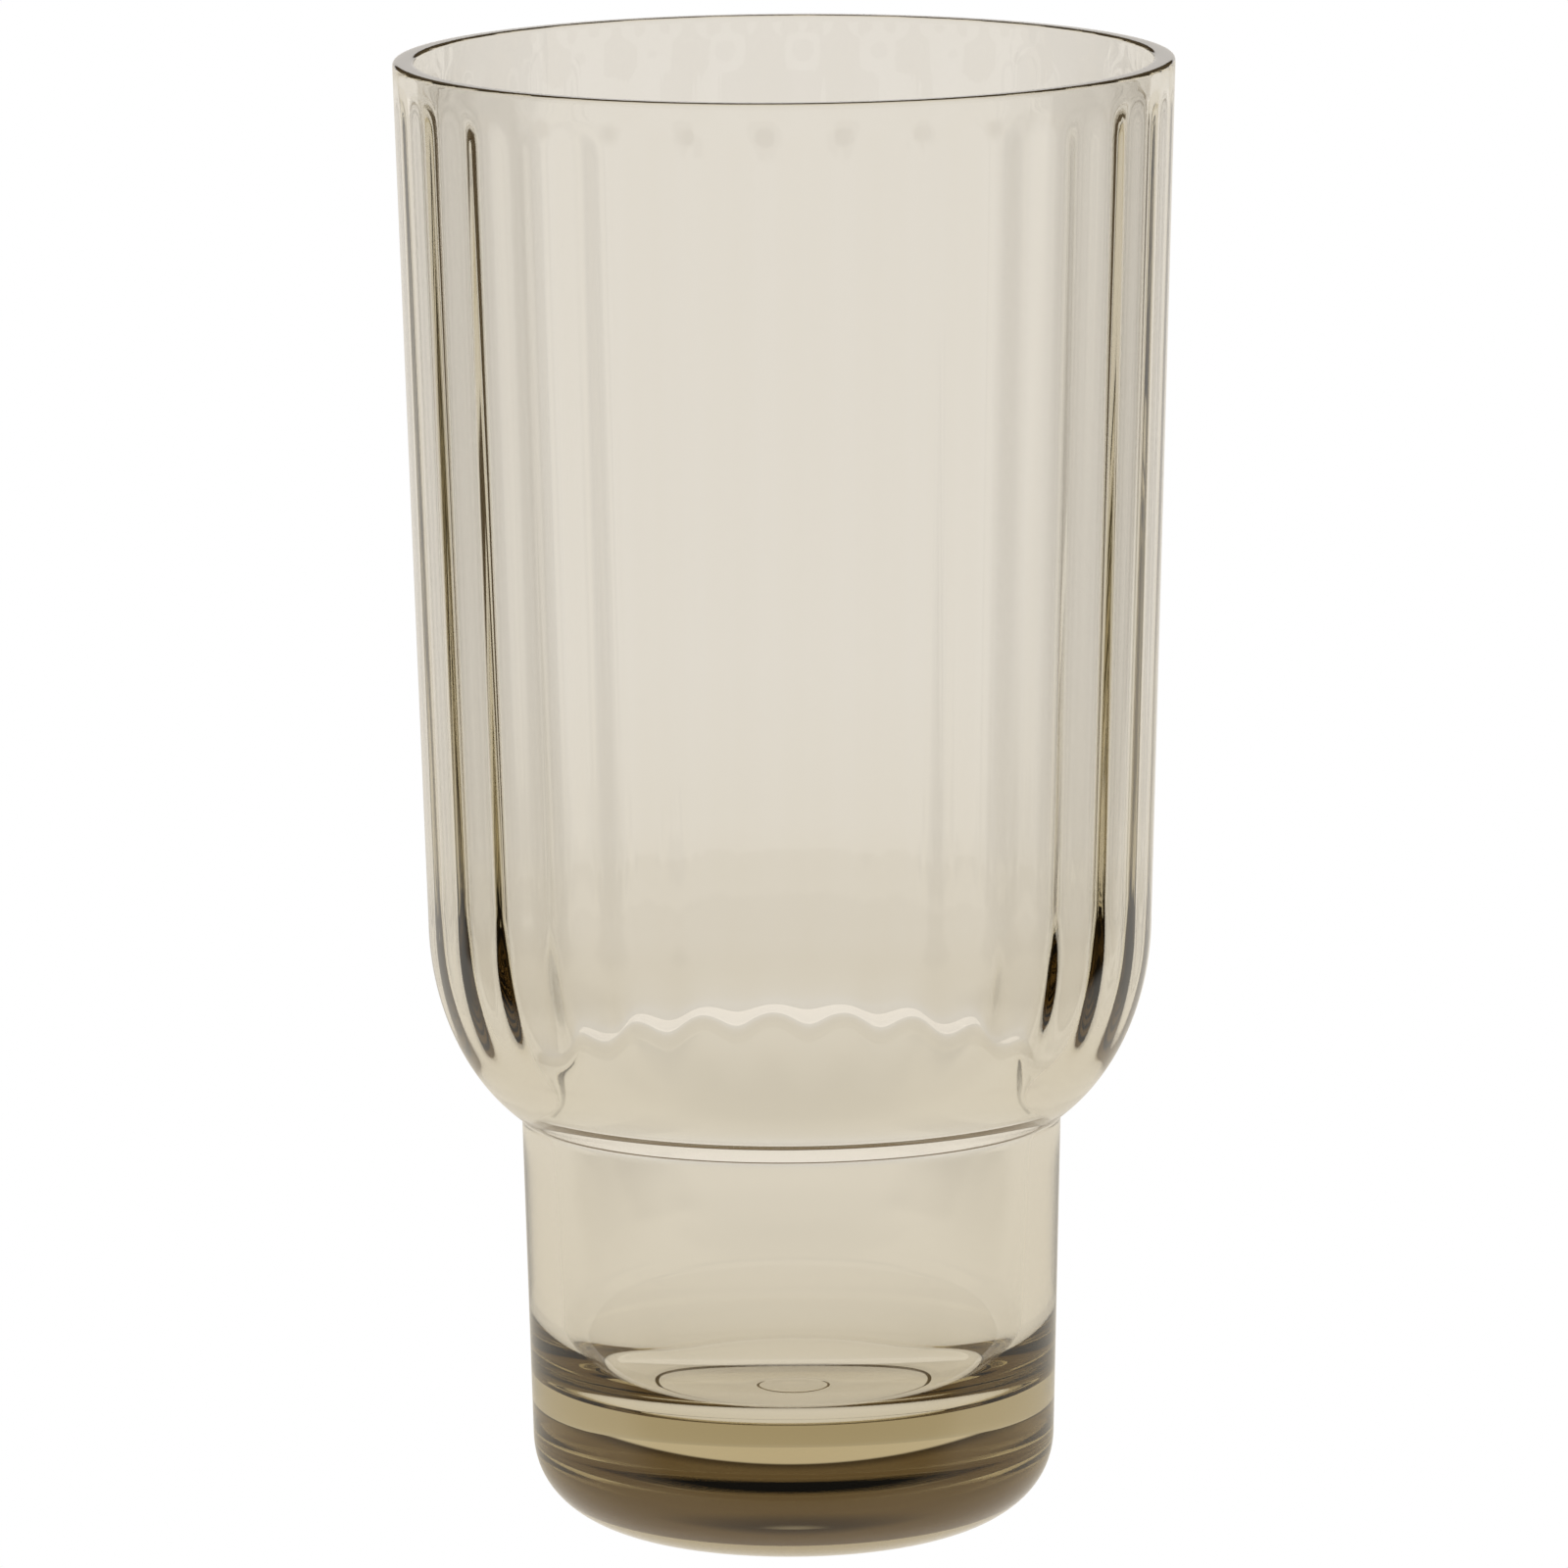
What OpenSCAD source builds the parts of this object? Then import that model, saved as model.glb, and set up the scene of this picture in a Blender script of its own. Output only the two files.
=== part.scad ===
// Stepped cylinder vase, pressed in one piece from smoke-tinted glass.
// +Z is up. The origin is the centre of the underside, on the plane it stands on.

/* [Outside] */

// Height from the table to the top of the lip
total_h = 200; // [150:1:260]
// Outer diameter at the lip
rim_d = 104.6; // [80:0.1:140]
// Outer diameter where the straight wall ends and the shoulder starts
body_low_d = 97.6; // [70:0.1:130]
// Height at which the shoulder starts
shoulder_top_h = 83.6; // [60:0.1:120]
// How far the shoulder's curve would reach in, were it not cut off by the foot
shoulder_w = 22.3; // [14:0.1:30]
// How far the shoulder's curve would reach down
shoulder_h = 30.1; // [18:0.1:40]
// Diameter of the foot at the crease under the shoulder
foot_top_d = 72.9; // [50:0.1:100]
// Diameter of the foot above its rounded bottom corner
foot_low_d = 70.7; // [50:0.1:100]
// Width of the rounded bottom corner
corner_w = 20; // [6:0.1:28]
// Height of the rounded bottom corner
corner_h = 14; // [4:0.1:24]
// Fullness of the corner: 2 is an ellipse, more is squarer
corner_power = 2.3; // [2:0.1:4]
// How much of the corner's curve is cut off flat by the standing ring
corner_cut = 0.6; // [0.2:0.1:2]

/* [Glass thickness] */

// Wall at the lip
wall_rim = 2.9; // [2:0.1:5]
// Wall where the shoulder starts
wall_shoulder = 3.35; // [2:0.05:6]
// Wall of the foot
wall_foot = 4; // [2:0.05:8]
// Height of the rounded part of the lip
lip_h = 0.9; // [0.5:0.1:3]
// Flatness of the lip: 2 is an ellipse, more is flatter on top
lip_power = 5; // [2:0.5:8]
// Glass under the cavity
floor_h = 19.4; // [8:0.1:30]
// Width of the rounding between the cavity's floor and its wall
floor_round = 7; // [4:0.1:20]
// Height of that rounding
floor_round_h = 11; // [4:0.1:20]
// Height at which the cavity starts to draw in towards the foot
swell_top_h = 90; // [80:0.5:110]
// Height at which it has become the foot's straight bore
swell_low_h = 55; // [40:0.5:60]
// How long the upper part of that curve stays upright
swell_upper = 24; // [8:0.5:30]
// How long the lower part of it stays upright
swell_lower = 8; // [4:0.5:20]

/* [Flutes] */

// Number of shallow flutes round the inside of the wall
flute_count = 30; // [12:1:48]
// Depth of a flute at its middle
flute_depth = 0.5; // [0.2:0.05:1]
// Height of the flutes' upper ends
flute_top_h = 196.2; // [180:0.1:198]
// Height of the flutes' lower ends, just into the shoulder
flute_low_h = 82; // [70:0.5:90]
// Turn of the first flute from +X
flute_turn = 3; // [0:0.1:12]

/* [Underside] */

// Diameter of the shallow recess
recess_d = 41.4; // [20:0.1:44]
// Depth of the recess
recess_depth = 0.8; // [0.3:0.1:2]
// Diameter of the round mark in the middle of the recess
mark_d = 9.8; // [4:0.1:16]
// How far the mark stands below the recess's roof
mark_h = 0.4; // [0.1:0.1:0.6]

/* [Hidden] */

$fn = 96;
smoke = [0.84, 0.80, 0.72, 0.55];

rim_r = rim_d / 2;
body_low_r = body_low_d / 2;
foot_top_r = foot_top_d / 2;
foot_low_r = foot_low_d / 2;
lip_z = total_h - lip_h;

// Share of the shoulder's quarter ellipse that is left above the foot.
function swept(reach, w) = sqrt(1 - pow(1 - reach / w, 2));
out_swept = swept(body_low_r - foot_top_r, shoulder_w);

// Inner radii where the shoulder starts, under the crease and above the floor.
in_low_r = body_low_r - wall_shoulder;
in_foot_r = foot_top_r - wall_foot;
in_floor_r = foot_low_r - wall_foot;

// A stretch of an ellipse about c with half axes w and h, from angle a0 to a1; a power p above 2 squares it up.
function squared(t, p) = sign(t) * pow(abs(t), 2 / p);
function round_off(c, w, h, a0, a1, steps, p = 2) =
    [for (i = [0:steps]) let (a = a0 + (a1 - a0) * i / steps)
        [c[0] + w * squared(cos(a), p), c[1] + h * squared(sin(a), p)]];

// A cubic curve from a to d, pulled towards b and c.
function swell(a, b, c, d, steps) =
    [for (i = [0:steps]) let (t = i / steps, s = 1 - t)
        a * s * s * s + 3 * b * t * s * s + 3 * c * t * t * s + d * t * t * t];

// Half section of the whole outside, from the table up to the lip's crest.
function outside() = concat(
    [[0, 0]],
    round_off([foot_low_r - corner_w, corner_h - corner_cut], corner_w, corner_h,
              -asin(pow(1 - corner_cut / corner_h, corner_power / 2)), 0, 14, corner_power),
    round_off([body_low_r - shoulder_w, shoulder_top_h], shoulder_w, shoulder_h, -asin(out_swept), 0, 14),
    round_off([rim_r - wall_rim / 2, lip_z], wall_rim / 2, lip_h, 0, 90, 7, lip_power),
    [[0, total_h]]);

// Half section of the cavity, from its floor up and out past the lip.
function cavity() = concat(
    [[0, floor_h]],
    round_off([in_floor_r - floor_round, floor_h + floor_round_h], floor_round, floor_round_h, -90, 0, 10),
    swell([in_foot_r, swell_low_h], [in_foot_r, swell_low_h + swell_lower],
          [in_low_r, swell_top_h - swell_upper], [in_low_r, swell_top_h], 12),
    round_off([rim_r - wall_rim / 2, lip_z], -wall_rim / 2, lip_h, 0, 90, 7, lip_power),
    [[0, total_h + 5]]);

// The radius that makes neighbouring flutes meet in a ridge at the given depth.
mid_r = (in_low_r + rim_r - wall_rim) / 2;
pitch = 2 * mid_r * sin(180 / flute_count);
sagitta = flute_depth + mid_r * (1 - cos(180 / flute_count));
flute_r = (pitch * pitch / 4 + sagitta * sagitta) / (2 * sagitta);
wall_lean = atan((rim_r - wall_rim - in_low_r) / (lip_z - swell_top_h));

// Bars that lean with the wall and each stand flute_depth into it.
module flutes() {
    for (i = [0:flute_count - 1])
        rotate([0, 0, flute_turn + i * 360 / flute_count])
            translate([in_low_r + flute_depth - flute_r, 0, swell_top_h])
                rotate([0, wall_lean, 0])
                    translate([0, 0, flute_low_h - swell_top_h])
                        cylinder(h = flute_top_h - flute_low_h, r = flute_r);
}

// The shallow ring-shaped hollow that keeps the middle of the base off the table.
module recess() {
    difference() {
        translate([0, 0, -1])
            cylinder(h = 1 + recess_depth, d1 = recess_d + 1, d2 = recess_d - 0.8);
        translate([0, 0, recess_depth - mark_h])
            cylinder(h = 1, d = mark_d);
    }
}

module glass_vessel() {
    color(smoke)
        difference() {
            rotate_extrude() polygon(outside());
            rotate_extrude() polygon(cavity());
            flutes();
            recess();
        }
}

glass_vessel();
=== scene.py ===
import math

import bpy
import numpy as np
from mathutils import Matrix, Vector


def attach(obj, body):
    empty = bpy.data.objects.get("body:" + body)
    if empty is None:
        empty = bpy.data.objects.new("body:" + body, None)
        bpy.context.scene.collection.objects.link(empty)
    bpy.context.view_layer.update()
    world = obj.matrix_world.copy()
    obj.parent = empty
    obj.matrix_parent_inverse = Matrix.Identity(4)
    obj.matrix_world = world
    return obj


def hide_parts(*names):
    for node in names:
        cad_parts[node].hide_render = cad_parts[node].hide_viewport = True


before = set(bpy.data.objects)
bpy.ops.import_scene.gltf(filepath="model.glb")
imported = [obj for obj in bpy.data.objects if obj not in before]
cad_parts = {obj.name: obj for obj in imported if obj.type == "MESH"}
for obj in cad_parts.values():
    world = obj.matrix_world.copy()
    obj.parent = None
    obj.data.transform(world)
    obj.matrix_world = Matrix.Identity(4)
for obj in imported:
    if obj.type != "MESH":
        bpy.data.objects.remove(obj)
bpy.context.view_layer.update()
mm = 0.001


def linearColour(hexText):
    # sRGB hex to the linear values that shaders want, with an alpha of 1
    parts = np.array([int(hexText[i:i + 2], 16) / 255 for i in (1, 3, 5)])
    low = parts / 12.92
    high = ((parts + 0.055) / 1.055) ** 2.4
    return tuple(np.where(parts <= 0.04045, low, high)) + (1.0,)


def addNode(tree, kind, inputs=None, **settings):
    # one node with its settings; each input is linked to another node's output or set to a value
    node = tree.nodes.new(kind)
    for name, value in settings.items():
        setattr(node, name, value)
    for name, value in (inputs or {}).items():
        if isinstance(value, bpy.types.NodeSocket):
            tree.links.new(value, node.inputs[name])
        else:
            node.inputs[name].default_value = value
    return node


# The vessel, in millimetres. A soft value is how far the rounding of an edge reaches, a power above 2
# squares an arc off, and the swell is the S that the cavity makes between the body and the foot. The pole
# gap is the radius of the last ring before a pole. The flutes' turn is in degrees, from -Y towards +X.
vessel = {
    "height": 200.0, "rimRadius": 52.3, "rimWall": 2.9, "lipHeight": 0.9, "lipPower": 5.0,
    "shoulderRadius": 48.8, "shoulderTop": 83.6, "shoulderWide": 22.3, "shoulderTall": 30.1,
    "shoulderWall": 3.35, "creaseSoft": 1.1,
    "footTopRadius": 36.45, "footLowRadius": 35.35, "footWall": 4.0,
    "cornerWide": 20.0, "cornerTall": 14.0, "cornerCut": 0.6, "cornerPower": 2.3,
    "swellLow": 55.0, "swellHigh": 90.0, "swellLower": 8.0, "swellUpper": 24.0,
    "floorHeight": 19.4, "floorRound": 7.0, "floorRoundTall": 11.0,
    "recessRadius": 20.7, "recessDepth": 0.8, "recessSlope": 0.4, "recessSoft": 0.3,
    "markRadius": 4.9, "markHeight": 0.4, "markSlope": 0.3, "markSoft": 0.12, "poleGap": 0.01,
    "flutes": 30, "fluteTurn": 9.0, "fluteDepth": 0.54, "fluteTop": (193.1, 197.6), "fluteLow": (67.0, 81.0),
    "columnsPerFlute": 11,
    # rows of the mesh that each stretch of the section gets, from the gate mark round to the cavity's floor
    "rows": {
        "mark": 2, "markSide": 2, "recess": 6, "recessSide": 3, "ring": 3, "corner": 36, "foot": 6,
        "shoulder": 30, "body": 12, "lip": 20, "bowl": 56, "swell": 44, "footInside": 12, "floorRound": 22,
        "floor": 5, "soft": 8,
    },
}


def arc(centre, wide, tall, start, end, steps, power=2.0):
    # points of an ellipse: centre plus half width times cosine and half height times sine; a power
    # above 2 raises both to 2 / power, which fills the corner out and eases it into the straight wall
    a = np.radians(np.linspace(start, end, steps + 1))
    across, up = [np.sign(t) * np.abs(t) ** (2 / power) for t in (np.cos(a), np.sin(a))]
    return np.stack([centre[0] + wide * across, centre[1] + tall * up], 1)


def straight(start, end, steps, crowded=False):
    # points from start to end without the first, evenly spaced or crowded towards both ends by a cosine
    t = np.linspace(0, 1, steps + 1)[1:, None]
    if crowded:
        t = (1 - np.cos(math.pi * t)) / 2
    return np.array(start) * (1 - t) + np.array(end) * t


def bezier(a, b, c, d, steps):
    # cubic curve from a to d pulled towards b and c: a(1-t)^3 + 3bt(1-t)^2 + 3ct^2(1-t) + dt^3
    t = np.linspace(0, 1, steps + 1)[:, None]
    a, b, c, d = map(np.array, (a, b, c, d))
    return a * (1 - t) ** 3 + 3 * b * t * (1 - t) ** 2 + 3 * c * t ** 2 * (1 - t) + d * t ** 3


def softCorner(before, after, reach, steps):
    # the corner where two runs of points meet, swapped for a parabola that leaves each run at distance reach
    corner = before[-1]
    near = before[np.hypot(*(before - corner).T) > reach]
    far = after[np.hypot(*(after - corner).T) > reach]
    a, b = [corner + (p - corner) * reach / np.hypot(*(p - corner)) for p in (near[-1], far[0])]
    t = np.linspace(0, 1, steps + 1)[:, None]
    bend = a * (1 - t) ** 2 + 2 * corner * t * (1 - t) + b * t ** 2
    return np.vstack([near, bend]), far


def joinRuns(parts, steps):
    # runs of points chained end to end; each comes with the reach that softens the joint before it, or 0
    out = parts[0][0]
    for run, reach in parts[1:]:
        if reach:
            out, run = softCorner(out, run, reach, steps)
        out = np.vstack([out, run])
    return out


def outsideProfile(v):
    # half section of the outside, from the middle of the underside out, up and over the lip
    n, roof, recess = v["rows"], v["recessDepth"], v["recessRadius"]
    mark, markFoot = roof - v["markHeight"], v["markRadius"] + v["markSlope"]
    cut = -math.degrees(math.asin((1 - v["cornerCut"] / v["cornerTall"]) ** (v["cornerPower"] / 2)))
    corner = arc((v["footLowRadius"] - v["cornerWide"], v["cornerTall"] - v["cornerCut"]),
                 v["cornerWide"], v["cornerTall"], cut, 0, n["corner"], v["cornerPower"])
    tuck = math.degrees(math.acos(1 - (v["shoulderRadius"] - v["footTopRadius"]) / v["shoulderWide"]))
    shoulder = arc((v["shoulderRadius"] - v["shoulderWide"], v["shoulderTop"]),
                   v["shoulderWide"], v["shoulderTall"], -tuck, 0, n["shoulder"])
    lip = arc((v["rimRadius"] - v["rimWall"] / 2, v["height"] - v["lipHeight"]),
              v["rimWall"] / 2, v["lipHeight"], 0, 180, n["lip"], v["lipPower"])
    return joinRuns([
        (straight((v["poleGap"], mark), (v["markRadius"], mark), n["mark"]), 0),
        (straight((v["markRadius"], mark), (markFoot, roof), n["markSide"]), v["markSoft"]),
        (straight((markFoot, roof), (recess - v["recessSlope"], roof), n["recess"]), v["markSoft"]),
        (straight((recess - v["recessSlope"], roof), (recess, 0), n["recessSide"]), v["recessSoft"]),
        (straight((recess, 0), corner[0], n["ring"]), v["recessSoft"]),
        (corner[1:], 0),
        (straight(corner[-1], shoulder[0], n["foot"]), 0),
        (shoulder[1:], v["creaseSoft"]),
        (straight(shoulder[-1], lip[0], n["body"]), 0),
        (lip[1:], 0)], n["soft"])


def cavityProfile(v, start):
    # half section of the cavity, from the lip's inner end down to the floor's middle
    n = v["rows"]
    bodyInside = v["shoulderRadius"] - v["shoulderWall"]
    footInside = v["footTopRadius"] - v["footWall"]
    floorEdge = v["footLowRadius"] - v["footWall"]
    swell = bezier((bodyInside, v["swellHigh"]), (bodyInside, v["swellHigh"] - v["swellUpper"]),
                   (footInside, v["swellLow"] + v["swellLower"]), (footInside, v["swellLow"]), n["swell"])
    bowlFloor = arc((floorEdge - v["floorRound"], v["floorHeight"] + v["floorRoundTall"]),
                    v["floorRound"], v["floorRoundTall"], 0, -90, n["floorRound"])
    return joinRuns([
        (straight(start, swell[0], n["bowl"], crowded=True), 0),
        (swell[1:], 0),
        (straight(swell[-1], bowlFloor[0], n["footInside"]), 0),
        (bowlFloor[1:], 0),
        (straight(bowlFloor[-1], (v["poleGap"], v["floorHeight"]), n["floor"]), 0)], n["soft"])


def smoothRise(x, low, high):
    # 0 below low, 1 above high, and a smooth S between
    t = np.clip((x - low) / (high - low), 0, 1)
    return t * t * (3 - 2 * t)


def vesselPoints(v):
    # two parameters, the section's points and the turn: radius from the section, plus on the cavity's side
    # half the flute's depth times cosine of the turn times the flute count, faded out above and below
    outside = outsideProfile(v)
    section = np.vstack([outside, cavityProfile(v, outside[-1])])
    columns = v["flutes"] * v["columnsPerFlute"]
    turns = np.arange(columns) * 2 * math.pi / columns
    r, z = section[:, :1], section[:, 1:]
    isCavity = (np.arange(len(section)) >= len(outside))[:, None]
    fade = smoothRise(z, *v["fluteLow"]) * (1 - smoothRise(z, *v["fluteTop"])) * isCavity
    wave = np.cos(v["flutes"] * (turns[None, :] - math.radians(v["fluteTurn"])))
    radius = r + v["fluteDepth"] / 2 * wave * fade
    points = np.stack([radius * np.sin(turns), -radius * np.cos(turns), np.broadcast_to(z, radius.shape)], 2)
    return points * mm


def closedSurface(name, points, bottomPole, topPole):
    # a mesh of quads round each row of points, closed by a fan to a pole at both ends, faces outwards
    rows, columns = points.shape[:2]
    vertices = np.vstack([points.reshape(-1, 3), [[0, 0, bottomPole], [0, 0, topPole]]])
    i, j = np.meshgrid(np.arange(rows - 1), np.arange(columns), indexing="ij")
    k = (j + 1) % columns
    corners = [i * columns + j, i * columns + k, (i + 1) * columns + k, (i + 1) * columns + j]
    quads = np.stack(corners, 2).reshape(-1, 4)
    ring = np.arange(columns)
    following = (ring + 1) % columns
    last = (rows - 1) * columns
    first = np.stack([np.full(columns, rows * columns), following, ring], 1)
    final = np.stack([np.full(columns, rows * columns + 1), last + ring, last + following], 1)
    mesh = bpy.data.meshes.new(name)
    mesh.from_pydata(vertices.tolist(), [], quads.tolist() + first.tolist() + final.tolist())
    mesh.polygons.foreach_set("use_smooth", np.ones(len(mesh.polygons), dtype=bool))
    mesh.update()
    piece = bpy.data.objects.new(name, mesh)
    bpy.context.scene.collection.objects.link(piece)
    return piece


# Smoke-tinted soda-lime glass, pressed and fire-polished: glossy, free of grain, and coloured by the
# light that its own thickness takes, so thin walls are pale grey-beige and the base is brown.
smokeGlass = {"surface": "#ffffff", "ior": 1.52, "roughness": 0.0, "tint": "#cbbb79", "tintDensity": 24.85}


def smokeGlassMaterial(g):
    material = bpy.data.materials.new("smoke-tinted pressed soda-lime glass")
    material.use_nodes = True
    tree = material.node_tree
    tree.nodes.clear()
    surface = addNode(tree, "ShaderNodeBsdfPrincipled", {
        "Base Color": linearColour(g["surface"]), "Roughness": g["roughness"], "IOR": g["ior"],
        "Transmission Weight": 1.0})
    body = addNode(tree, "ShaderNodeVolumeAbsorption", {
        "Color": linearColour(g["tint"]), "Density": g["tintDensity"]})
    addNode(tree, "ShaderNodeOutputMaterial", {"Surface": surface.outputs[0], "Volume": body.outputs[0]})
    return material


print("vessel")
glassVessel = closedSurface("pressed_vessel", vesselPoints(vessel),
                            (vessel["recessDepth"] - vessel["markHeight"]) * mm, vessel["floorHeight"] * mm)
glassVessel.data.materials.append(smokeGlassMaterial(smokeGlass))
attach(glassVessel, "root")
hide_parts("glass_vessel")

# The studio: a white table that gives its own even light, before a low white wall, in a dim room. Laid into
# the table's light are a painted tinted shadow round the vessel, a painted pool of light under it, painted
# shade close in front of it, and painted shade past the feet of dark side cards, which are not built. Seen
# straight, all is plain white; what the glass bends or mirrors is dimmer.
# Angles are in degrees and places on the table in metres, a pair says where a change starts and ends, and the
# slant is how far the edge of the painted card shade stands out for each metre back.
studio = {
    "seenWhite": "#ffffff", "wallGlow": "#fff9f1", "roomLow": "#4d402d", "roomHigh": "#7e6c50",
    "roomRise": (0.0, 7.0), "ceiling": "#9e978e", "ceilingLift": (45.0, 60.0),
    "wallTop": 8.8, "sideTop": -2.0, "farSideTop": -10.0, "wallSoft": 0.8,
    "wallTurn": (0.0, 46.0), "farSideTurn": (46.0, 62.0),
    "tableHalf": 3.0, "tableDrop": 0.0002, "tableGlow": "#e7e2da",
    # the vessel's painted tinted shadow round it on the table, and a painted pool of light just under it
    "vesselShadow": "#ded6c6", "nearReach": (0.7, 0.05), "underGlow": "#ece6dd", "underReach": (0.05, 0.025),
    # painted shade on the table past the slanting feet of side cards, which are not built
    "cardShade": "#4d402d", "cardFoot": (0.17, 0.23), "cardSlant": 0.8, "cardFront": (-0.2, -0.12),
    # painted shade on the table just in front of the vessel
    "frontShade": "#6f695d", "frontEdge": (-0.035, -0.065), "frontReach": (0.18, 0.1),
}


def paintPatches(tree, ground, patches):
    # a ground colour with patches laid over it in turn, each as strong as its steps multiplied; a step goes
    # from 0 to 1 as what it measures passes from start to end, in a straight ramp or a soft one
    colour = linearColour(ground)
    for patchColour, steps in patches:
        share = 1.0
        for value, (start, end), way in steps:
            step = addNode(tree, "ShaderNodeMapRange", {"Value": value, "From Min": start, "From Max": end},
                           interpolation_type=way)
            share = addNode(tree, "ShaderNodeMath", {0: share, 1: step.outputs[0]},
                            operation="MULTIPLY").outputs[0]
        colour = addNode(tree, "ShaderNodeMix", {0: share, 6: colour, 7: linearColour(patchColour)},
                         data_type="RGBA").outputs[2]
    return colour


def studioWorld(s):
    # colour by direction: the turn away from straight behind the vessel and the lift above level
    world = bpy.data.worlds.new("studio")
    world.use_nodes = True
    tree = world.node_tree
    tree.nodes.clear()
    towards = addNode(tree, "ShaderNodeTexCoord").outputs["Generated"]
    x, y, z = addNode(tree, "ShaderNodeSeparateXYZ", {0: towards}).outputs
    turn = addNode(tree, "ShaderNodeMath", {0: x, 1: y}, operation="ARCTAN2").outputs[0]
    spread = addNode(tree, "ShaderNodeMath", {0: turn}, operation="ABSOLUTE").outputs[0]
    turnDegrees = addNode(tree, "ShaderNodeMath", {0: spread}, operation="DEGREES").outputs[0]
    lift = addNode(tree, "ShaderNodeMath", {0: z}, operation="ARCSINE").outputs[0]
    liftDegrees = addNode(tree, "ShaderNodeMath", {0: lift}, operation="DEGREES").outputs[0]
    nearEdge = addNode(tree, "ShaderNodeMapRange", {
        "Value": turnDegrees, "From Min": s["wallTurn"][0], "From Max": s["wallTurn"][1],
        "To Min": s["wallTop"], "To Max": s["sideTop"]}, interpolation_type="SMOOTHSTEP").outputs[0]
    farDrop = addNode(tree, "ShaderNodeMapRange", {
        "Value": turnDegrees, "From Min": s["farSideTurn"][0], "From Max": s["farSideTurn"][1],
        "To Min": 0.0, "To Max": s["sideTop"] - s["farSideTop"]}).outputs[0]
    overNear = addNode(tree, "ShaderNodeMath", {0: liftDegrees, 1: nearEdge}, operation="SUBTRACT").outputs[0]
    above = addNode(tree, "ShaderNodeMath", {0: overNear, 1: farDrop}, operation="ADD").outputs[0]
    seen = addNode(tree, "ShaderNodeLightPath").outputs["Is Camera Ray"]
    glow = paintPatches(tree, s["roomLow"], [
        (s["roomHigh"], [(above, s["roomRise"], "SMOOTHSTEP")]),
        (s["ceiling"], [(liftDegrees, s["ceilingLift"], "SMOOTHSTEP")]),
        (s["wallGlow"], [(above, (s["wallSoft"], -s["wallSoft"]), "SMOOTHSTEP")]),
        (s["seenWhite"], [(seen, (0, 1), "LINEAR")])])
    light = addNode(tree, "ShaderNodeBackground", {"Color": glow})
    addNode(tree, "ShaderNodeOutputWorld", {"Surface": light.outputs[0]})
    return world


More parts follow.
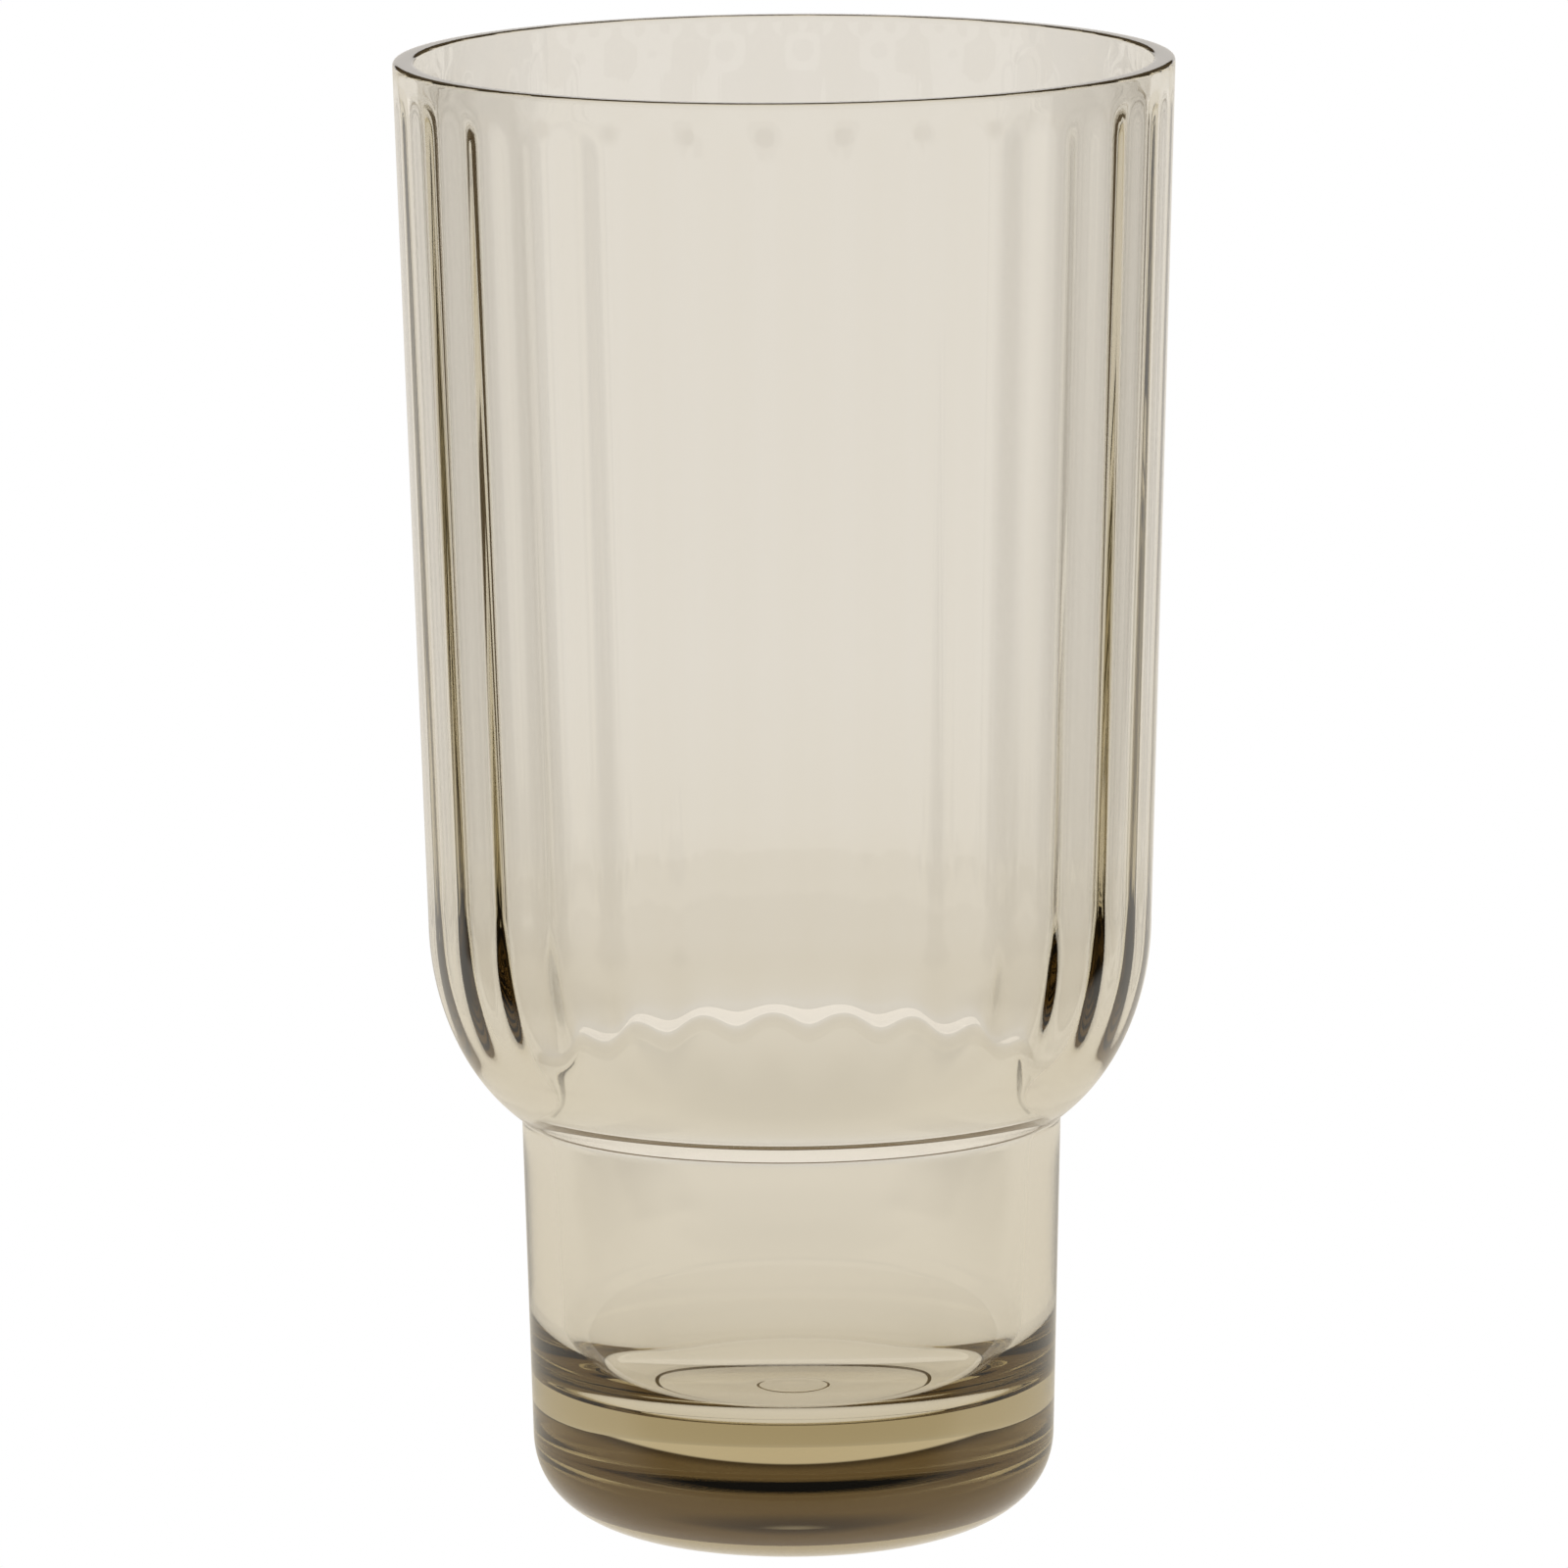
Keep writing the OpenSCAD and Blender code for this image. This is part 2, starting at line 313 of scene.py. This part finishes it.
def tableMaterial(s):
    # emitted colour by place, with light and shade painted in: a painted pool of light under the vessel, the
    # vessel's painted tinted shadow round it, painted shade past the slanting feet of the side cards and
    # painted shade just in front of the vessel
    material = bpy.data.materials.new("white table top")
    material.use_nodes = True
    tree = material.node_tree
    tree.nodes.clear()
    place = addNode(tree, "ShaderNodeNewGeometry").outputs["Position"]
    x, y = addNode(tree, "ShaderNodeSeparateXYZ", {0: place}).outputs[:2]
    away = addNode(tree, "ShaderNodeVectorMath", {0: place}, operation="LENGTH").outputs["Value"]
    across = addNode(tree, "ShaderNodeMath", {0: x}, operation="ABSOLUTE").outputs[0]
    behind = addNode(tree, "ShaderNodeMath", {0: y, 1: 0.0}, operation="MAXIMUM").outputs[0]
    past = addNode(tree, "ShaderNodeMath", {0: behind, 1: -s["cardSlant"], 2: across},
                   operation="MULTIPLY_ADD").outputs[0]
    seen = addNode(tree, "ShaderNodeLightPath").outputs["Is Camera Ray"]
    glow = paintPatches(tree, s["tableGlow"], [
        # the vessel's painted tinted shadow, darker and warmer towards it
        (s["vesselShadow"], [(away, s["nearReach"], "LINEAR")]),
        # a painted pool of light just under the vessel
        (s["underGlow"], [(away, s["underReach"], "SMOOTHSTEP")]),
        # painted shade past the slanting feet of the side cards
        (s["cardShade"], [(past, s["cardFoot"], "SMOOTHSTEP"), (y, s["cardFront"], "SMOOTHSTEP")]),
        # painted shade just in front of the vessel
        (s["frontShade"], [(y, s["frontEdge"], "SMOOTHSTEP"), (away, s["frontReach"], "SMOOTHSTEP")]),
        (s["seenWhite"], [(seen, (0, 1), "LINEAR")])])
    light = addNode(tree, "ShaderNodeEmission", {"Color": glow})
    addNode(tree, "ShaderNodeOutputMaterial", {"Surface": light.outputs[0]})
    return material


def studioTable(s):
    # a square just under the vessel, which gives its own light
    half, drop = s["tableHalf"], s["tableDrop"]
    corners = [(-half, -half, -drop), (half, -half, -drop), (half, half, -drop), (-half, half, -drop)]
    mesh = bpy.data.meshes.new("table")
    mesh.from_pydata(corners, [], [(0, 1, 2, 3)])
    mesh.materials.append(tableMaterial(s))
    table = bpy.data.objects.new("table", mesh)
    bpy.context.scene.collection.objects.link(table)


print("studio")
bpy.context.scene.world = studioWorld(studio)
studioTable(studio)

# The camera: a long lens before the vessel, a little above it. Places, focal length and sensor are in
# millimetres, angles in degrees, and clipping in metres.
view = {
    "distance": 1792.9, "height": 409.9, "side": -0.678, "pitch": 9.759, "roll": 0.4155,
    "focal": 309.84, "sensor": 36.0, "clipping": (0.05, 50.0),
}

# enough bends for light that is caught inside the walls and the base
lightPaths = {"max_bounces": 32, "transmission_bounces": 32, "glossy_bounces": 16}


def placeCamera(c):
    # the lens looks along forward, with up square to it, and is then rolled about its own axis
    camera = bpy.data.cameras.new("camera")
    camera.sensor_width = c["sensor"]
    camera.lens = c["focal"]
    camera.clip_start, camera.clip_end = c["clipping"]
    pitch = math.radians(c["pitch"])
    forward = Vector((0, math.cos(pitch), -math.sin(pitch)))
    up = Vector((0, math.sin(pitch), math.cos(pitch)))
    turned = Matrix((Vector((1, 0, 0)), up, -forward)).transposed().to_4x4()
    place = Matrix.Translation(Vector((c["side"], -c["distance"], c["height"])) * mm)
    holder = bpy.data.objects.new("camera", camera)
    bpy.context.scene.collection.objects.link(holder)
    holder.matrix_world = place @ turned @ Matrix.Rotation(-math.radians(c["roll"]), 4, "Z")
    bpy.context.scene.camera = holder


print("camera")
placeCamera(view)
bpy.context.scene.view_settings.view_transform = "Standard"
for setting, value in lightPaths.items():
    setattr(bpy.context.scene.cycles, setting, value)
